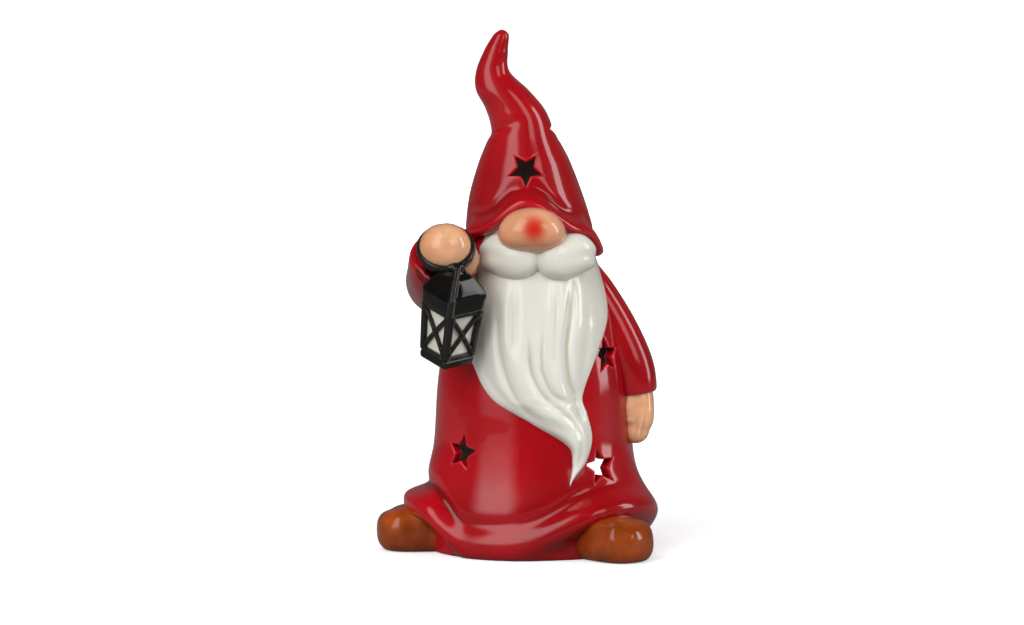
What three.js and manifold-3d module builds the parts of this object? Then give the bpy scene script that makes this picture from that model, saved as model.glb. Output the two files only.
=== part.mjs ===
// A glazed ceramic garden gnome that shelters a tealight: a hollow robe and a hollow hat with star
// windows, and the beard, arms, boots and lantern cast on their own and luted on with slip.
// Millimetres, +Z up. The gnome faces -Y, and the origin is the middle of its flat base.
// A bearing is an angle round the gnome: 0 is its front, and positive turns towards +X.
import * as THREE from 'three';
import { LoftGeometry } from 'three/addons/geometries/LoftGeometry.js';
import { mergeVertices } from 'three/addons/utils/BufferGeometryUtils.js';
import Module from 'manifold-3d';

const wasm = await Module();
wasm.setup();

// ---------------------------------------------------------------- driving dimensions

const TIP_HEIGHT = 250;
const LUTE_GAP = 0.3;
const ROBE_WALL = 5;
const HAT_WALL = 4;
const FLOOR = 5;

const NECK_HEIGHT = 172;
const BRIM_BACK = 141;
const BRIM_RISE = 14;
const ARCH_RISE = 11.5;
const ARCH_SPREAD = 0.5;
const BRIM_ROLL = 3.6;
const BRIM_LIP = 3.4;

const HEM_ROLL = 3.6;
const HEM_BAND = 8;
const HEM_LOW = 6;
const HEM_RISE = 17.5;
const HEM_SWELL = 8;

const BOOT_LENGTH = 75;
const BOOT_HEIGHT = 21;
const BOOT_WIDTH = 29;
const LEFT_BOOT = -86;
const RIGHT_BOOT = 44;

const PARTING = 2.2;

const STAR_RADIUS = 8.6;
const STAR_WAIST = 4.1;

const DOOR_BEARING = 162;
const DOOR_WIDTH = 54;
const DOOR_HEIGHT = 52;

const LANTERN_SIDE = 19.6;
const LANTERN_HEIGHT = 24;
const LANTERN_TAPER = 0.08;
const LANTERN_BAR = 1.9;
const LANTERN_WALL = 1.6;
const ROOF_SIDE = 23.4;
const ROOF_SKIRT = 6;
const ROOF_HEIGHT = 19;
const LANTERN_PLATE = 4.5;
const LANTERN_PLACE = [-41.2, -41, 95.5];
const LANTERN_SIDE_LEAN = 7;
const LANTERN_FRONT_LEAN = 17;
const LANTERN_TURN = 42;

const RING_RADIUS = 12.3;
const RING_BAND = 1.9;
const RING_LEAN = 44;
const FIST_PLACE = [-41.5, -45, 149.5];
const SLEEVE_SETBACK = 5.5;

const CUP_RADIUS = 19;
const CUP_HEIGHT = 15;
const CUP_WALL = 0.5;
const WICK_RADIUS = 1;
const WICK_HEIGHT = 21;
const TAB_RADIUS = 6;

// ---------------------------------------------------------------- shared tools

const radians = THREE.MathUtils.degToRad;
const hump = (x, width) => Math.exp(-((x / width) ** 2));

// A smooth curve through [key, value] pairs in rising order of key, level beyond both ends.
function through(...pairs) {
  const last = pairs.length - 1;
  const slope = (i) => {
    if (i === 0 || i === last) return 0;
    const [before, after] = [pairs[i - 1], pairs[i + 1]];
    return (after[1] - before[1]) / (after[0] - before[0]);
  };
  return (key) => {
    if (key <= pairs[0][0]) return pairs[0][1];
    if (key >= pairs[last][0]) return pairs[last][1];
    const i = pairs.findIndex((pair) => pair[0] > key) - 1;
    const span = pairs[i + 1][0] - pairs[i][0];
    const s = (key - pairs[i][0]) / span;
    const bend = s * s * (3 - 2 * s);
    const lift = slope(i) * s * (1 - s) ** 2 - slope(i + 1) * s * s * (1 - s);
    return pairs[i][1] * (1 - bend) + pairs[i + 1][1] * bend + span * lift;
  };
}

function solidOf(geometry) {
  const bare = new THREE.BufferGeometry().copy(geometry);
  bare.deleteAttribute('normal');
  bare.deleteAttribute('uv');
  const merged = mergeVertices(bare, 1e-3);
  const vertProperties = merged.attributes.position.array;
  const triVerts = new Uint32Array(merged.index.array);
  return new wasm.Manifold(new wasm.Mesh({ numProp: 3, vertProperties, triVerts }));
}

function geometryOf(solid) {
  const mesh = solid.getMesh();
  const geometry = new THREE.BufferGeometry();
  geometry.setAttribute('position', new THREE.BufferAttribute(mesh.vertProperties, 3));
  geometry.setIndex(new THREE.BufferAttribute(mesh.triVerts, 1));
  return geometry;
}

// The closed skin through rings of points: pointAt takes how far along the ring lies, 0 to 1, and an angle.
function loft(rings, sides, pointAt) {
  const sections = Array.from({ length: rings + 1 }, (_, i) =>
    Array.from({ length: sides }, (_, j) => pointAt(i / rings, (j / sides) * 2 * Math.PI)),
  );
  return new LoftGeometry(sections, { capStart: true, capEnd: true });
}

// A round limb along a curve, with its radius in pairs along it. Flatness squeezes an upright limb from
// front to back.
function limb(places, radius, flatness, grow, rings = 9, sides = 14) {
  const spine = new THREE.CatmullRomCurve3(places.map((place) => new THREE.Vector3(...place)));
  const size = through(...radius);
  const chord = spine.getPoint(1).sub(spine.getPoint(0));
  const guide = Math.abs(chord.z) > Math.abs(chord.y) ? new THREE.Vector3(0, 1, 0) : new THREE.Vector3(0, 0, 1);
  const geometry = loft(rings, sides, (t, angle) => {
    const along = spine.getTangent(t);
    const across = guide.clone().addScaledVector(along, -along.dot(guide)).normalize();
    const aside = new THREE.Vector3().crossVectors(along, across);
    const reach = size(t) + grow;
    return spine
      .getPoint(t)
      .addScaledVector(aside, reach * Math.cos(angle))
      .addScaledVector(across, -reach * flatness * Math.sin(angle));
  });
  return solidOf(geometry);
}

function ellipsoid([x, y, z], [rx, ry, rz], grow, sides = 16, rings = 10) {
  const geometry = new THREE.SphereGeometry(1, sides, rings);
  geometry.rotateX(Math.PI / 2);
  geometry.scale(rx + grow, ry + grow, rz + grow);
  geometry.translate(x, y, z);
  return solidOf(geometry);
}

function block(width, depth, height, x = 0, y = 0, z = 0) {
  return solidOf(new THREE.BoxGeometry(width, depth, height).translate(x, y, z));
}

// A round body about the Z axis from [radius, height] corners, closed along that axis.
function turned(corners, sides = 32) {
  const profile = corners.map(([radius, height]) => new THREE.Vector2(radius, height));
  return solidOf(new THREE.LatheGeometry(profile, sides).rotateX(Math.PI / 2));
}

const without = (solid, ...others) => others.reduce((left, other) => left.subtract(other), solid);

// A solid with the lute gap round it: its copies shifted along each axis, joined.
function swollen(solid) {
  const shifts = [[1, 0, 0], [-1, 0, 0], [0, 1, 0], [0, -1, 0], [0, 0, 1], [0, 0, -1]];
  const copies = shifts.map((shift) => solid.translate(shift.map((share) => share * LUTE_GAP)));
  return copies.reduce((joined, copy) => joined.add(copy), solid);
}

function largest(solid) {
  return solid.decompose().reduce((best, body) => (body.volume() > best.volume() ? body : best));
}

// ---------------------------------------------------------------- robe

const robeHalfWidth = through(
  [0, 50], [24, 50.5], [50, 47.8], [84, 45.6], [112, 40], [136, 32], [155, 26], [172, 22],
);
const robeHalfDepth = through(
  [0, 45.5], [24, 44], [50, 41.5], [84, 39], [112, 35.5], [136, 31], [155, 26], [172, 22],
);
const robeCentre = through([0, 0], [110, 0], [172, -3.3]);
const bootBearings = [radians(LEFT_BOOT), radians(RIGHT_BOOT)];

// How much the hem is lifted over a boot at a bearing, from 0 to 1; it stays up further round to the right.
function hemLift(bearing) {
  const turnFrom = (centre) => Math.atan2(Math.sin(bearing - centre), Math.cos(bearing - centre));
  const left = hump(turnFrom(bootBearings[0]), 0.62);
  const right = hump(turnFrom(bootBearings[1]), 0.55);
  const side = 0.42 * hump(turnFrom(radians(92)), 0.6);
  return Math.min(1, left + right + side);
}

// The hem's rolled band runs low in front and rises over each boot.
const hemCrest = (bearing) => HEM_LOW + HEM_RISE * hemLift(bearing);
const hemRoll = (bearing) => HEM_ROLL + HEM_SWELL * hemLift(bearing);
const hemBulge = (bearing, z) => hemRoll(bearing) * hump(z - hemCrest(bearing), HEM_BAND);

// The height of the ring at t: six rings round the hem's roll, the others spread up to the neck.
function robeHeight(t, bearing) {
  const valley = hemCrest(bearing) + 13;
  return t < 0.4 ? (valley * t) / 0.4 : valley + ((NECK_HEIGHT - valley) * (t - 0.4)) / 0.6;
}

function robePoint(z, bearing, grow) {
  const bulge = hemBulge(bearing, z) + grow;
  const x = robeCentre(z) + (robeHalfWidth(z) + bulge) * Math.sin(bearing);
  const y = -(robeHalfDepth(z) + bulge) * Math.cos(bearing);
  return new THREE.Vector3(x, y, z);
}

function robeSkin(grow) {
  return solidOf(loft(15, 36, (t, angle) => robePoint(robeHeight(t, angle), angle, grow)));
}

function robeHollow() {
  const top = NECK_HEIGHT + 1;
  return solidOf(
    loft(8, 28, (t, angle) => {
      const z = FLOOR + (top - FLOOR) * t;
      const x = robeCentre(z) + (robeHalfWidth(z) - ROBE_WALL) * Math.sin(angle);
      return new THREE.Vector3(x, -(robeHalfDepth(z) - ROBE_WALL) * Math.cos(angle), z);
    }),
  );
}

// A five-pointed prism along -Y, centred on the Z axis, with one point up.
function starPrism(length) {
  const corners = Array.from({ length: 10 }, (_, i) => {
    const radius = i % 2 ? STAR_WAIST : STAR_RADIUS;
    const angle = Math.PI / 2 + (i * Math.PI) / 5;
    return new THREE.Vector2(radius * Math.cos(angle), radius * Math.sin(angle));
  });
  const star = new THREE.Shape(corners);
  return new THREE.ExtrudeGeometry(star, { depth: length, bevelEnabled: false }).rotateX(Math.PI / 2);
}

// A star window through the wall at a bearing, with its middle at a height where the wall is a reach from
// the axis. Pitch leans it upwards and spin turns its points.
function starWindow({ bearing, height, middle = 0, spin = 0, pitch = 0, reach = 40 }) {
  const prism = starPrism(reach + 20);
  prism.rotateY(radians(spin));
  prism.rotateX(radians(-pitch));
  prism.rotateZ(radians(bearing));
  return solidOf(prism.translate(middle, 0, height - reach * Math.tan(radians(pitch))));
}

const robeStars = [
  { bearing: -50, height: 50, spin: 8 },
  { bearing: 45, height: 43.5, spin: -6 },
  { bearing: 57.5, height: 96 },
  { bearing: -140, height: 98 },
];

function doorway() {
  const half = DOOR_WIDTH / 2;
  const spring = DOOR_HEIGHT - half;
  const arch = new THREE.Shape();
  arch.moveTo(-half, 0);
  arch.lineTo(half, 0);
  arch.lineTo(half, spring);
  arch.absarc(0, spring, half, 0, Math.PI);
  const depth = 60;
  const geometry = new THREE.ExtrudeGeometry(arch, { depth, bevelEnabled: false, curveSegments: 8 });
  geometry.rotateX(Math.PI / 2);
  geometry.rotateZ(radians(DOOR_BEARING));
  return solidOf(geometry.translate(0, 0, FLOOR));
}

const robeCutter = robeSkin(LUTE_GAP);
const robe = without(robeSkin(0), robeHollow(), doorway(), ...robeStars.map(starWindow));

// ---------------------------------------------------------------- hat

const hatHalfWidth = through(
  [141, 32.4], [160, 29.6], [172, 27], [187, 21.9], [202, 15.2],
  [212, 14.3], [221, 12.8], [230, 8], [240, 5.7], [250, 2],
);
const hatHalfDepth = through(
  [141, 33.4], [160, 30.5], [172, 27.4], [187, 21.5], [202, 15],
  [212, 12.6], [221, 10.6], [230, 7.4], [240, 5.5], [250, 2],
);
const hatCentre = through(
  [141, -1], [172, -3.3], [202, -5.2], [212, -8.6], [221, -14.7], [230, -19.2], [240, -17.6], [250, -14.8],
);

// The brim dips at the back and sides, climbs towards the front and arches up over the nose.
function brimHeight(bearing) {
  const turn = Math.atan2(Math.sin(bearing), Math.cos(bearing));
  const climb = BRIM_RISE * ((1 + Math.cos(turn)) / 2) ** 2;
  return BRIM_BACK + climb + ARCH_RISE * hump(turn, ARCH_SPREAD);
}

function hatPoint(t, bearing, grow) {
  const rise = (brimHeight(bearing) - BRIM_BACK - grow) * (1 - t) ** 3;
  const z = BRIM_BACK + (TIP_HEIGHT - BRIM_BACK) * t + rise;
  const roll = BRIM_ROLL * hump(z - brimHeight(bearing) - BRIM_LIP, BRIM_LIP) + grow;
  const x = hatCentre(z) + (hatHalfWidth(z) + roll) * Math.sin(bearing);
  return new THREE.Vector3(x, -(hatHalfDepth(z) + roll) * Math.cos(bearing), z);
}

function hatSkin(grow) {
  return solidOf(loft(20, 30, (t, angle) => hatPoint(t ** 1.15, angle, grow)));
}

function hatHollow() {
  const low = NECK_HEIGHT - 1;
  const high = 216;
  return solidOf(
    loft(6, 20, (t, angle) => {
      const z = low + (high - low) * t;
      const x = hatCentre(z) + (hatHalfWidth(z) - HAT_WALL) * Math.sin(angle);
      return new THREE.Vector3(x, -(hatHalfDepth(z) - HAT_WALL) * Math.cos(angle), z);
    }),
  );
}

const hatStars = [
  { bearing: 2, height: 185.5, middle: -4.3, spin: 180, pitch: 24, reach: 24 },
  { bearing: 101, height: 201.5, middle: -5, pitch: 20, reach: 16 },
  { bearing: -140, height: 190, middle: -4.6, pitch: 22, reach: 21 },
];

const hatCutter = hatSkin(LUTE_GAP);
const hat = largest(without(hatSkin(0), robeCutter, hatHollow(), ...hatStars.map(starWindow)));

// ---------------------------------------------------------------- beard, moustache and nose

const beardLeft = through(
  [35, 17.2], [46, 18.6], [54, 16.5], [65, -0.5], [76, -19],
  [92, -28.5], [104, -32], [125, -30], [146, -25], [164, -20],
);
const beardRight = through(
  [35, 18], [46, 25.2], [57, 28.1], [69, 25.7], [77, 23.4], [96, 30], [115, 35.7], [146, 30.5], [164, 24],
);
const beardThickness = through([35, 2.5], [60, 5], [100, 7], [140, 7.5], [164, 5]);

// The front of the robe at x and z, held to a steep side where x runs past the robe.
function robeFront(x, z) {
  const share = Math.min(0.97, Math.abs(x - robeCentre(z)) / robeHalfWidth(z));
  return -robeHalfDepth(z) * Math.sqrt(1 - share ** 2);
}

function beardForm() {
  const [low, high] = [35, 164];
  const geometry = loft(22, 20, (t, angle) => {
    const z = high + (low - high) * t;
    const middle = (beardLeft(z) + beardRight(z)) / 2;
    const half = (beardRight(z) - beardLeft(z)) / 2;
    const behind = Math.max(0, -Math.sin(angle));
    const depth = behind ? 12 : beardThickness(z);
    const x = middle + half * (1 - 0.25 * behind) * Math.cos(angle);
    return new THREE.Vector3(x, robeFront(x, z) - depth * Math.sin(angle), z);
  });
  return solidOf(geometry);
}

// A soft cushion of hair, its outer end turned back round the cheek.
function moustacheForm(side, grow) {
  const geometry = loft(10, 18, (t, angle) => {
    const along = 0.985 * Math.sin((t - 0.5) * Math.PI);
    const girth = (1 - Math.abs(along) ** 2.6) ** (1 / 2.6);
    const y = -(8.6 + grow) * girth * Math.sin(angle);
    return new THREE.Vector3((15.8 + grow) * along, y, (10.8 + grow) * girth * Math.cos(angle));
  });
  geometry.rotateZ(side * radians(28));
  return solidOf(geometry.translate(PARTING + side * 13.3, -32.5, 144.8));
}

const partingAt = (side) => block(60, 60, 60, PARTING - side * (30 - LUTE_GAP / 2), -30, 145);
const nosePlace = [-0.6, -37, 157];
const noseSize = [16, 13.5, 10.8];

const beard = largest(without(beardForm(), robeCutter, hatCutter));
const beardCutter = swollen(beard);
const moustacheCutters = [moustacheForm(-1, LUTE_GAP), moustacheForm(1, LUTE_GAP)];
const moustaches = [-1, 1].map((side) =>
  largest(without(moustacheForm(side, 0), partingAt(side), robeCutter, hatCutter, beardCutter)),
);
const nose = largest(
  without(ellipsoid(nosePlace, noseSize, 0), robeCutter, hatCutter, beardCutter, ...moustacheCutters),
);

// ---------------------------------------------------------------- arms

const hangingSleevePlaces = [[20, 2, 138], [29.5, 0, 124], [39.6, -2, 106], [47.2, -4, 88], [49.8, -5, 75.5]];
const hangingSleeveRadii = [[0, 8.5], [0.3, 9.8], [0.65, 10.2], [0.9, 9.8], [1, 8.8]];
const raisedSleevePlaces = [
  [-24, 3, 131], [-36, 1, 128.5], [-44.4, -11, 129], [-42.6, -31, 135.5], [-41.5, -48, 148.5],
];
const raisedSleeveRadii = [[0, 12], [0.35, 14.4], [0.6, 15.6], [0.8, 15.4], [1, 14]];
const ringLean = radians(RING_LEAN);

const hangingSleeveForm = (grow) => limb(hangingSleevePlaces, hangingSleeveRadii, 1, grow);

// The sleeve stops short of the carrying ring, parallel to it.
function raisedSleeveForm(grow) {
  const back = new THREE.Vector3(0, Math.cos(ringLean), -Math.sin(ringLean));
  const mouth = back.dot(new THREE.Vector3(...FIST_PLACE)) + SLEEVE_SETBACK;
  return limb(raisedSleevePlaces, raisedSleeveRadii, 1, grow, 11, 16).trimByPlane(back.toArray(), mouth - grow);
}

function hangingHandForm() {
  const palm = limb(
    [[50.2, -5, 80], [50.3, -6, 71], [49.6, -7, 62], [47.6, -7.5, 53]],
    [[0, 6.6], [0.3, 7.6], [0.7, 7.3], [0.9, 5.2], [1, 1.5]], 0.9, 0, 9, 12,
  );
  const thumb = ellipsoid([45.6, -11.8, 66.5], [3.1, 3.2, 7.5], 0, 10, 7);
  return palm.add(thumb);
}

function raisedHandForm() {
  const fist = ellipsoid(FIST_PLACE, [12, 12, 11.6], 0);
  const heel = [[-43, -26, 136], [-37.5, -33, 140], [-34.5, -38, 143.5]];
  const wrist = limb(heel, [[0, 10.5], [0.5, 11.2], [1, 9]], 1, 0, 8);
  return fist.add(wrist);
}

// ---------------------------------------------------------------- boots

function bootForm(bearing) {
  const height = through([0, 18], [0.5, BOOT_HEIGHT], [0.8, BOOT_HEIGHT], [0.94, 18.5], [1, 11]);
  const width = through([0, 11], [0.45, BOOT_WIDTH / 2], [0.76, 13.6], [0.92, 11], [1, 5]);
  const [heel, toe] = [34, BOOT_LENGTH];
  const geometry = loft(9, 16, (t, angle) => {
    const share = Math.sin((t * Math.PI) / 2);
    const up = Math.max(-0.62, Math.sin(angle));
    const z = (height(share) * (up + 0.62)) / 1.62;
    return new THREE.Vector3(width(share) * Math.cos(angle), -heel - (toe - heel) * share, z);
  });
  return solidOf(geometry.rotateZ(radians(bearing)));
}

const boots = [LEFT_BOOT, RIGHT_BOOT].map((bearing) => largest(without(bootForm(bearing), robeCutter)));

// ---------------------------------------------------------------- lantern, in its own upright frame

// The lantern narrows towards its foot: every level is scaled about the upright axis.
function tapered(solid) {
  const height = LANTERN_PLATE + LANTERN_HEIGHT;
  return solid.warp((corner) => {
    const share = 1 + LANTERN_TAPER * ((2 * corner[2]) / height - 1);
    corner[0] *= share;
    corner[1] *= share;
  });
}

// One side of the cage: a frame whose four openings leave two crossed bars.
function cagePanel() {
  const half = LANTERN_SIDE / 2;
  const rim = LANTERN_BAR;
  const bar = LANTERN_BAR / 2;
  const [w, h] = [half - rim, LANTERN_HEIGHT / 2 - rim];
  const [dx, dz] = [bar * Math.hypot(1, w / h), bar * Math.hypot(1, h / w)];
  const panel = new THREE.Shape();
  panel.moveTo(-half, -LANTERN_HEIGHT / 2);
  panel.lineTo(half, -LANTERN_HEIGHT / 2);
  panel.lineTo(half, LANTERN_HEIGHT / 2);
  panel.lineTo(-half, LANTERN_HEIGHT / 2);
  const triangles = [
    [[-w + dx, h], [w - dx, h], [0, dz]],
    [[-w + dx, -h], [w - dx, -h], [0, -dz]],
    [[-w, h - dz], [-w, -h + dz], [-dx, 0]],
    [[w, h - dz], [w, -h + dz], [dx, 0]],
  ];
  const pathOf = (corners) => new THREE.Path(corners.map((corner) => new THREE.Vector2(...corner)));
  panel.holes = triangles.map(pathOf);
  const geometry = new THREE.ExtrudeGeometry(panel, { depth: LANTERN_WALL, bevelEnabled: false });
  geometry.rotateX(Math.PI / 2);
  return geometry.translate(0, -half + LANTERN_WALL, LANTERN_PLATE + LANTERN_HEIGHT / 2);
}

function lanternCage() {
  const sides = [0, 90, 180, 270].map((turn) => solidOf(cagePanel().rotateZ(radians(turn))));
  return tapered(sides.reduce((cage, side) => cage.add(side)));
}

function lanternCore() {
  const side = LANTERN_SIDE - 2 * LANTERN_WALL - 2 * LUTE_GAP;
  const height = LANTERN_HEIGHT - 2 * LUTE_GAP;
  return tapered(block(side, side, height, 0, 0, LANTERN_PLATE + LANTERN_HEIGHT / 2));
}

// A square section with rounded corners and a given half side.
function squareRing(half, angle) {
  const reach = half / (Math.abs(Math.cos(angle)) ** 8 + Math.abs(Math.sin(angle)) ** 8) ** 0.125;
  return [reach * Math.cos(angle), reach * Math.sin(angle)];
}

function lanternPlate() {
  const side = LANTERN_SIDE / 2;
  const half = through([0, side - 0.8], [1.2, side + 0.4], [LANTERN_PLATE, side]);
  const top = LANTERN_PLATE - LUTE_GAP;
  const geometry = loft(3, 24, (t, angle) => {
    const [x, y] = squareRing(half(top * t), angle);
    return new THREE.Vector3(x, y, top * t);
  });
  return tapered(solidOf(geometry));
}

function lanternRoof() {
  const low = LANTERN_PLATE + LANTERN_HEIGHT + LUTE_GAP;
  const eave = ROOF_SIDE / 2;
  const half = through([0, eave], [ROOF_SKIRT, eave - 0.3], [11, 9.6], [15, 6.4], [ROOF_HEIGHT, 2.4]);
  const geometry = loft(6, 24, (t, angle) => {
    const [x, y] = squareRing(half(ROOF_HEIGHT * t), angle);
    return new THREE.Vector3(x, y, low + ROOF_HEIGHT * t);
  });
  return solidOf(geometry);
}

const lanternLean = new THREE.Euler(
  radians(LANTERN_FRONT_LEAN), radians(LANTERN_SIDE_LEAN), radians(LANTERN_TURN), 'YXZ',
);
const lanternMatrix = new THREE.Matrix4().makeRotationFromEuler(lanternLean).setPosition(...LANTERN_PLACE);
const inPlace = (solid) => solid.transform(lanternMatrix.elements);

// The carrying ring lies round the fist, leaning back, with a neck down to the roof.
function handleForm(grow) {
  const band = RING_BAND + grow;
  const ring = new THREE.TorusGeometry(RING_RADIUS, band, 8, 28).rotateX(Math.PI / 2 - ringLean);
  const [x, y, z] = FIST_PLACE;
  const lowest = [x + 4, y - RING_RADIUS * Math.sin(ringLean), z - RING_RADIUS * Math.cos(ringLean)];
  const peak = new THREE.Vector3(0, 0, LANTERN_PLATE + LANTERN_HEIGHT + ROOF_HEIGHT - 1);
  peak.applyMatrix4(lanternMatrix);
  const neck = limb([lowest, peak.toArray()], [[0, 2.6], [1, 2.8]], 1, grow, 2, 10);
  return solidOf(ring.translate(x, y, z)).add(neck);
}

const roof = inPlace(lanternRoof());
const roofCutter = inPlace(lanternRoof().scale([1.03, 1.03, 1]).translate([0, 0, LUTE_GAP]));
const handle = largest(without(handleForm(0), roofCutter, hatCutter, beardCutter, ...moustacheCutters));
const lanternRise = LANTERN_PLATE + LANTERN_HEIGHT + 2;
const lanternHull = inPlace(block(ROOF_SIDE + 1, ROOF_SIDE + 1, lanternRise, 0, 0, lanternRise / 2 - 0.5));

const handleCutter = handleForm(LUTE_GAP);
const raisedSleeve = largest(
  without(raisedSleeveForm(0), robeCutter, hatCutter, beardCutter, lanternHull, roofCutter, handleCutter),
);
const raisedHand = largest(
  without(
    raisedHandForm(), raisedSleeveForm(LUTE_GAP), robeCutter, hatCutter, beardCutter, ...moustacheCutters,
    handleCutter, roofCutter,
  ),
);
const hangingSleeve = largest(without(hangingSleeveForm(0), robeCutter, hatCutter, beardCutter));
const hangingHand = largest(without(hangingHandForm(), hangingSleeveForm(LUTE_GAP), robeCutter));

// ---------------------------------------------------------------- tealight, about the Z axis from the floor up

const waxRadius = CUP_RADIUS - CUP_WALL - LUTE_GAP;
const waxBase = CUP_WALL + LUTE_GAP;
const waxTop = CUP_HEIGHT - 2.5;

function cup() {
  const inner = CUP_RADIUS - CUP_WALL;
  return turned([
    [0, 0], [CUP_RADIUS, 0], [CUP_RADIUS, CUP_HEIGHT], [inner, CUP_HEIGHT], [inner, CUP_WALL], [0, CUP_WALL],
  ]);
}

function wickTab() {
  const [low, high] = [waxBase, waxBase + 0.5];
  const bore = WICK_RADIUS + LUTE_GAP;
  const collar = bore + 0.6;
  return turned([
    [bore, low], [TAB_RADIUS, low], [TAB_RADIUS, high], [collar, high],
    [collar, low + 4], [bore, low + 4], [bore, low],
  ]);
}

function wax() {
  const bore = WICK_RADIUS + LUTE_GAP;
  const collar = bore + 0.6 + LUTE_GAP;
  const seat = TAB_RADIUS + LUTE_GAP;
  const step = waxBase + 0.8;
  return turned([
    [seat, waxBase], [waxRadius, waxBase], [waxRadius, waxTop], [bore, waxTop - 0.6],
    [bore, waxBase + 4.3], [collar, waxBase + 4.3], [collar, step], [seat, step], [seat, waxBase],
  ]);
}

function wick() {
  const tip = WICK_HEIGHT;
  return turned([[0, waxBase], [WICK_RADIUS, waxBase], [WICK_RADIUS, tip - 1], [0.5, tip], [0, tip]], 12);
}

// ---------------------------------------------------------------- the assembly

const glaze = (color) => new THREE.MeshStandardMaterial({ color, roughness: 0.12, metalness: 0 });
const redGlaze = glaze(0xb5121b);
const whiteGlaze = glaze(0xe9e8e0);
const skinGlaze = glaze(0xf0b48e);
const noseGlaze = glaze(0xec9c7a);
const brownGlaze = glaze(0x9a4510);
const blackGlaze = glaze(0x14120f);
const aluminium = new THREE.MeshStandardMaterial({ color: 0xc8cacc, roughness: 0.3, metalness: 1 });
const steel = new THREE.MeshStandardMaterial({ color: 0x9a9c9e, roughness: 0.35, metalness: 1 });
const paraffin = new THREE.MeshStandardMaterial({ color: 0xf4f1e8, roughness: 0.45, metalness: 0 });
const cotton = new THREE.MeshStandardMaterial({ color: 0xece6d8, roughness: 0.9, metalness: 0 });

function piece(name, solid, material) {
  const mesh = new THREE.Mesh(geometryOf(solid), material);
  mesh.name = name;
  return mesh;
}

const gnome = new THREE.Group();
gnome.add(
  piece('robe_shell', robe, redGlaze),
  piece('hat_shell', hat, redGlaze),
  piece('beard', beard, whiteGlaze),
  piece('moustache_left', moustaches[0], whiteGlaze),
  piece('moustache_right', moustaches[1], whiteGlaze),
  piece('nose', nose, noseGlaze),
  piece('raised_sleeve', raisedSleeve, redGlaze),
  piece('raised_hand', raisedHand, skinGlaze),
  piece('hanging_sleeve', hangingSleeve, redGlaze),
  piece('hanging_hand', hangingHand, skinGlaze),
  piece('boot_left', boots[0], brownGlaze),
  piece('boot_right', boots[1], brownGlaze),
  piece('lantern_handle', handle, blackGlaze),
);

const lantern = new THREE.Group();
lantern.applyMatrix4(lanternMatrix);
lantern.add(
  piece('lantern_roof', lanternRoof(), blackGlaze),
  piece('lantern_cage', lanternCage(), blackGlaze),
  piece('lantern_core', lanternCore(), whiteGlaze),
  piece('lantern_plate', lanternPlate(), blackGlaze),
);

const tealight = new THREE.Group();
tealight.position.set(0, 0, FLOOR + LUTE_GAP);
tealight.add(
  piece('tealight_cup', cup(), aluminium),
  piece('tealight_wax', wax(), paraffin),
  piece('tealight_wick_tab', wickTab(), steel),
  piece('tealight_wick', wick(), cotton),
);

gnome.add(lantern, tealight);

export default gnome;
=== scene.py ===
import math

import bmesh
import bpy
import numpy as np
import openvdb
from mathutils import Matrix, Vector


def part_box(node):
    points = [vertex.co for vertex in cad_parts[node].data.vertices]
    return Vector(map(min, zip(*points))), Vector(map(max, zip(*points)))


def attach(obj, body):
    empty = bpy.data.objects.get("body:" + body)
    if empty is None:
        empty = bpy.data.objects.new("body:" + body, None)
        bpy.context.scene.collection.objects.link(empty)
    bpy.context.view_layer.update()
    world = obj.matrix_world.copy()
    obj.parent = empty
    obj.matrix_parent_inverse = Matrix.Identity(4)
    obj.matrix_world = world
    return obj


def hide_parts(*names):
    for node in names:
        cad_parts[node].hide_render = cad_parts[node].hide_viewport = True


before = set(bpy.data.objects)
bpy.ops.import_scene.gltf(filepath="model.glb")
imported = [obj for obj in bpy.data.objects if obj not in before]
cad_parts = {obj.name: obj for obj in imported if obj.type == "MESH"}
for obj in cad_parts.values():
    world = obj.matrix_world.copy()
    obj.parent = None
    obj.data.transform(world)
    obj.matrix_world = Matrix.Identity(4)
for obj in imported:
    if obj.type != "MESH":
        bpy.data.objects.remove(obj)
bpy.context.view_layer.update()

# All shapes below are worked out in millimetres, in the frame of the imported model, and scaled to metres
# when their meshes are made. A bearing is an angle round the gnome: 0 is its front, positive turns to +X.

MM = 0.001


# ---------------------------------------------------------------- number tools


def through(*pairs):
    """A smooth curve through (key, value) pairs in rising order of key, level beyond both ends."""
    keys = np.array([p[0] for p in pairs], np.float64)
    vals = np.array([p[1] for p in pairs], np.float64)
    slopes = np.zeros(len(pairs))
    slopes[1:-1] = (vals[2:] - vals[:-2]) / (keys[2:] - keys[:-2])

    def curve(key):
        key = np.clip(key, keys[0], keys[-1])
        i = np.clip(np.searchsorted(keys, key, side="right") - 1, 0, len(keys) - 2)
        span = keys[i + 1] - keys[i]
        s = (key - keys[i]) / span
        bend = s * s * (3 - 2 * s)
        lift = slopes[i] * s * (1 - s) ** 2 - slopes[i + 1] * s * s * (1 - s)
        return vals[i] * (1 - bend) + vals[i + 1] * bend + span * lift

    return curve


def hump(x, width):
    return np.exp(-((x / width) ** 2))


def step_up(x, low, high):
    s = np.clip((x - low) / (high - low), 0, 1)
    return s * s * (3 - 2 * s)


def wrap(angle):
    return np.arctan2(np.sin(angle), np.cos(angle))


def smax(a, b, k):
    """The larger of two fields, rounded over k where they meet."""
    h = np.clip(0.5 + 0.5 * (a - b) / k, 0, 1)
    return b + (a - b) * h + k * h * (1 - h)


def smin(a, b, k):
    return -smax(-a, -b, k)


def gaps(points, centre):
    return points[0] - centre[0], points[1] - centre[1], points[2] - centre[2]


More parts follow.
